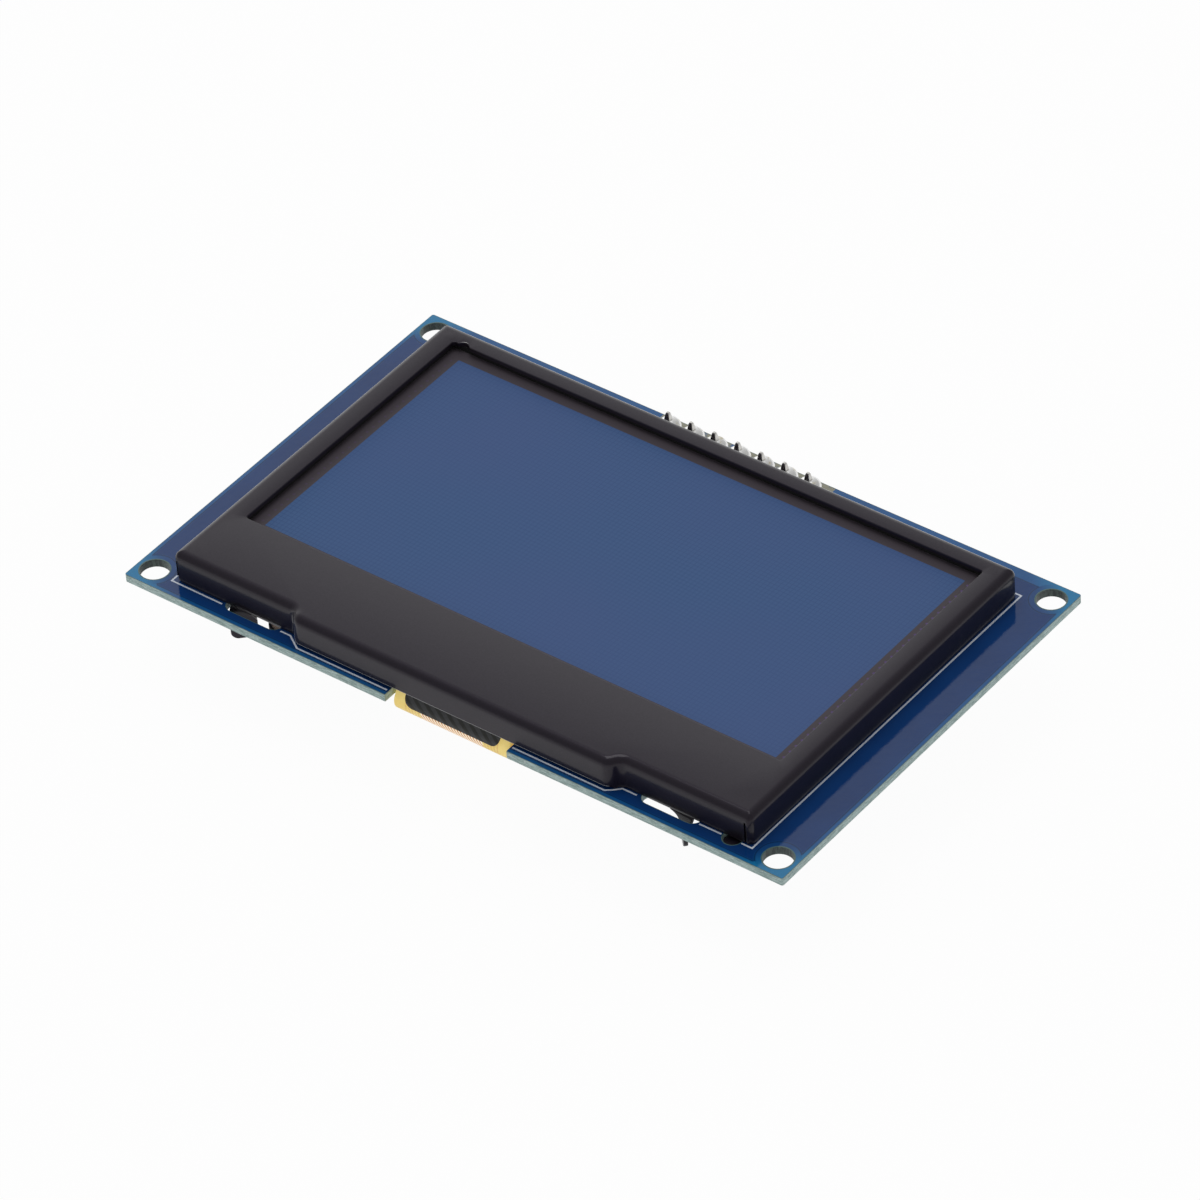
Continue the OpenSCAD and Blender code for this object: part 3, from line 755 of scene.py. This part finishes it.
def laminate_colour(f, z, at, fibre, hole):
    """The sawn edge: pale glass fibre, dark under the mask, and painted dark inside the drilled holes as
    their shade.
    """
    streak = f.noise(at, 3.0, 3.0, 0.6, (1, 1, 6))
    bore_shade_streaks = f.noise(at, 4.0, 3.0, 0.6, (1, 1, 0.3)).ramp(0.4, 0.6)
    board = f.blend(fibre.ramp(0.38, 0.62), (0.3, 0.44, 0.42), (0.62, 0.8, 0.77))
    board = f.blend(streak.ramp(0.6, 0.7), board, (0.9, 0.93, 0.93))
    board = f.blend((z + 0.1).ramp(0.0, 0.1) * 0.75, board, (0.03, 0.09, 0.12))
    # Inside the holes the laminate is painted dark with noise streaks: painted shade of the bore.
    return f.blend(hole < HOLE_R, board, f.blend(bore_shade_streaks, (0.03, 0.05, 0.048), (0.1, 0.14, 0.125)))


def solder_mask():
    f = Finish("blue_solder_mask")
    (x, y, z), at = f.place()
    nz = f.facing()[2]
    side = abs(nz) < 0.5
    hole = reach(abs(x) - HOLE_X, abs(y) - HOLE_Y)
    to_edge = (BOARD_X - abs(x)).least(BOARD_Y - abs(y))
    fibre = f.noise(at, 1.4, 4.0, 0.7, (1, 1, 5))
    mask = mask_colour(f, x, y, at, nz, hole, to_edge)
    f.body(Base_Color=f.blend(side, mask, laminate_colour(f, z, at, fibre, hole)),
           Roughness=side * 0.35 + 0.03, Normal=f.bump(fibre, 0.3, 0.03))
    return f


PAD_X, PAD_PITCH, PAD_R = 28.05, 0.86, 0.13


def polariser():
    """Grey-blue film: fine lines of the dot matrix in the lit area, and faint pads in the border, whose grey
    is partly painted reflection.
    """
    f = Finish("polariser")
    (x, y, z), at = f.place()
    up = y - LIT_MIDDLE
    inside = (abs(x) < LIT_X) * (abs(up) < LIT_HALF)
    lines = (x.off_line(DOT_PITCH) > 0.43).most(up.off_line(DOT_PITCH) > 0.43)
    lit = f.blend(lines, (0.058, 0.128, 0.3), (0.044, 0.1, 0.25))
    lit = f.blend(f.noise(at, 0.05, 1.0).ramp(0.3, 0.7) * 0.5, lit, (0.07, 0.115, 0.29))
    pad = reach(abs(x) - PAD_X, ((up / PAD_PITCH).fract() - 0.5) * PAD_PITCH)
    pads = (pad < PAD_R) * (abs(up) < LIT_HALF - 0.045) * ((x > 0.0) * 0.75 + 0.25)
    # The border's near-black film is lifted to grey: painted reflection, kept even right up to the window
    # wall.
    border_and_reflection = f.blend(pads, (0.082, 0.07, 0.083), (0.12, 0.08, 0.2))
    f.body(Base_Color=f.blend(inside, border_and_reflection, lit), Specular_IOR_Level=0.15,
           Roughness=f.noise(at, 0.4).ramp(0.2, 0.8) * 0.04 + 0.36)
    return f


TRACK_PITCH, TRACKS_HALF, COMB_HALF, COMB_TOP, COMB_BACK = 0.34, 5.0, 3.33, -1.05, -20.5


def polyimide():
    """Amber film with a painted glow in place of light coming through it, buried tracks, and a comb of bare
    copper below the cover.
    """
    f = Finish("amber_polyimide")
    (x, y, z), at = f.place()
    tone = f.noise(at, 0.6, 2.0).ramp(0.3, 0.7)
    film = f.blend(tone, (0.9, 0.66, 0.17), (1.0, 0.8, 0.3))
    track = (x.off_line(TRACK_PITCH) < 0.22) * (abs(x) < TRACKS_HALF)
    film = f.blend(track * 0.35, film, (0.62, 0.3, 0.12))
    comb_here = (abs(x) < COMB_HALF) * (z < COMB_TOP) * (y < COMB_BACK)
    tooth = (x + z * 0.55).off_line(TRACK_PITCH) < 0.27
    tint = f.blend(comb_here, film, f.blend(tooth, (0.55, 0.25, 0.1), (1.0, 0.87, 0.66)))
    # Painted glow: the film emits a share of its own colour, more in the comb, standing in for light shining
    # through it.
    glow = f.blend(0.66 - comb_here * 0.16, tint, (0.0, 0.0, 0.0))
    f.body(Base_Color=tint, Emission_Color=glow, Emission_Strength=1.0, Roughness=0.28,
           Normal=f.bump(tone, 0.2, 0.02))
    return f


STRIPE_PITCH, STRIPE_LEAN = 1.2, 1.5


def cover_coat():
    """Black cover film with slanted bands where tracks lie under it."""
    f = Finish("black_cover_film")
    (x, y, z), at = f.place()
    along = ((x + z * STRIPE_LEAN) / STRIPE_PITCH + f.noise(at, 0.5) * 0.25).fract()
    stripe = (abs(along - 0.5) * -1.0 + 0.3).ramp(0.0, 0.12)
    f.body(Base_Color=f.blend(stripe, (0.055, 0.057, 0.06), (0.02, 0.02, 0.017)), Roughness=0.35,
           Normal=f.bump(stripe, 0.3, 0.02))
    return f


def grained(name, dark, light, per_mm, roughness, metallic=0.0, bump=0.0, stretch=(1, 1, 1)):
    """A material whose colour and gloss wander between two tones."""
    f = Finish(name)
    at = f.place()[1]
    grain = f.noise(at, per_mm, 3.0, 0.55, stretch)
    share = grain.ramp(0.35, 0.65)
    f.body(Base_Color=f.blend(share, dark, light), Roughness=share * 0.12 + roughness,
           Metallic=metallic, Normal=f.bump(grain, bump, 0.03))
    return f


WIRE_PITCH = 0.16


def turns_of_wire():
    f = Finish("enamelled_copper")
    (x, y, z), at = f.place()
    turn = (z / WIRE_PITCH).fract()
    # Each turn is painted light on its crest and dark in the groove between turns: painted highlight and
    # shade. The same profile drives the bump.
    crest_and_painted_shade = turn * (1.0 - turn) * 4.0
    f.body(Base_Color=f.blend(crest_and_painted_shade, (0.03, 0.018, 0.014), (0.3, 0.22, 0.17)), Metallic=0.4,
           Roughness=0.35, Normal=f.bump(crest_and_painted_shade, 1.0, 0.05))
    return f


def dot_grid():
    f = Finish("oled_dots")
    (x, y, z), at = f.place()
    gap = (x.off_line(DOT_PITCH) > 0.44).most((y - LIT_MIDDLE).off_line(DOT_PITCH) > 0.44)
    f.body(Base_Color=f.blend(gap, (0.05, 0.12, 0.3), (0.6, 0.62, 0.66)), Metallic=0.6, Roughness=0.25)
    return f


def chip_package():
    """Black moulding compound with a fine sparkle."""
    f = Finish("moulding_compound")
    grain = f.noise(f.place()[1], 22.0, 2.0)
    f.body(Base_Color=f.blend(grain.ramp(0.4, 0.7), (0.012, 0.012, 0.013), (0.04, 0.04, 0.042)),
           Roughness=grain * 0.2 + 0.4, Normal=f.bump(grain, 0.4, 0.01))
    return f


def soldered():
    """Bright solder, duller and browner where flux was left."""
    f = Finish("solder")
    at = f.place()[1]
    flux = f.noise(at, 1.6, 3.0).ramp(0.56, 0.7)
    f.body(Base_Color=f.blend(flux, (1.0, 1.0, 0.99), (0.72, 0.66, 0.48)), Metallic=1.0 - flux * 0.5,
           Roughness=flux * 0.2 + 0.26, Normal=f.bump(f.noise(at, 3.0), 0.25, 0.04))
    return f


bezel_paint().on("bezel", "bezel_sheet", "bezel_tabs")
solder_mask().on("pcb")
polariser().on("polariser_film")
polyimide().on("flex_circuit")
cover_coat().on("flex_cover")
soldered().on("header_solder", "header_joints", "flex_joints", "solder_pads", "window_burr")
turns_of_wire().on("coil_winding")
dot_grid().on("pixel_matrix")
chip_package().on("boost_converter", "regulator", "rectifier_diode")

# Name, dark and light tone, grains per millimetre, roughness, then metal, bump and stretch
grained("tinned_pin", (0.62, 0.6, 0.57), (0.8, 0.79, 0.76), 3.0, 0.2, 1.0, 0.15, (1, 1, 0.2)).on(
    *PIN_NODES, *pins)
grained("tinned_lead", (0.6, 0.6, 0.6), (0.78, 0.78, 0.78), 6.0, 0.25, 1.0, 0.15).on(
    "chip_leads", "chip_terminals")
grained("header_plastic", (0.012, 0.012, 0.013), (0.028, 0.028, 0.03), 6.0, 0.42, 0.0, 0.3).on(
    "header_strip")
grained("ferrite", (0.03, 0.03, 0.032), (0.075, 0.075, 0.08), 9.0, 0.55, 0.0, 0.5).on("coil_core")
grained("tan_ceramic", (0.36, 0.25, 0.15), (0.48, 0.35, 0.22), 8.0, 0.4, 0.0, 0.2).on(
    "ceramic_capacitors")
grained("resistor_glaze", (0.008, 0.008, 0.009), (0.03, 0.03, 0.032), 7.0, 0.25, 0.0, 0.2).on(
    "chip_resistors")
grained("dark_glass", (0.004, 0.007, 0.006), (0.012, 0.02, 0.018), 0.8, 0.05).on(
    "display_glass", "cap_glass")
grained("seal_bead", (0.5, 0.52, 0.5), (0.75, 0.77, 0.74), 3.0, 0.4, 0.0, 0.2).on("edge_seal")
grained("drying_patch", (0.7, 0.7, 0.68), (0.88, 0.88, 0.86), 5.0, 0.8, 0.0, 0.4).on(
    "moisture_absorber")
grained("silicon", (0.05, 0.055, 0.07), (0.12, 0.13, 0.16), 12.0, 0.15, 0.6, 0.1, (8, 1, 1)).on(
    "driver_chip")
grained("foam", (0.004, 0.004, 0.004), (0.016, 0.016, 0.017), 14.0, 0.8, 0.0, 0.8).on("window_gasket")
grained("tape_film", (0.45, 0.45, 0.42), (0.62, 0.62, 0.58), 2.5, 0.5, 0.0, 0.2, (1, 6, 1)).on(
    "panel_tape")
grained("white_ink", (0.72, 0.79, 0.92), (0.86, 0.92, 1.0), 4.0, 0.5, 0.0, 0.2).on("silk_outline")
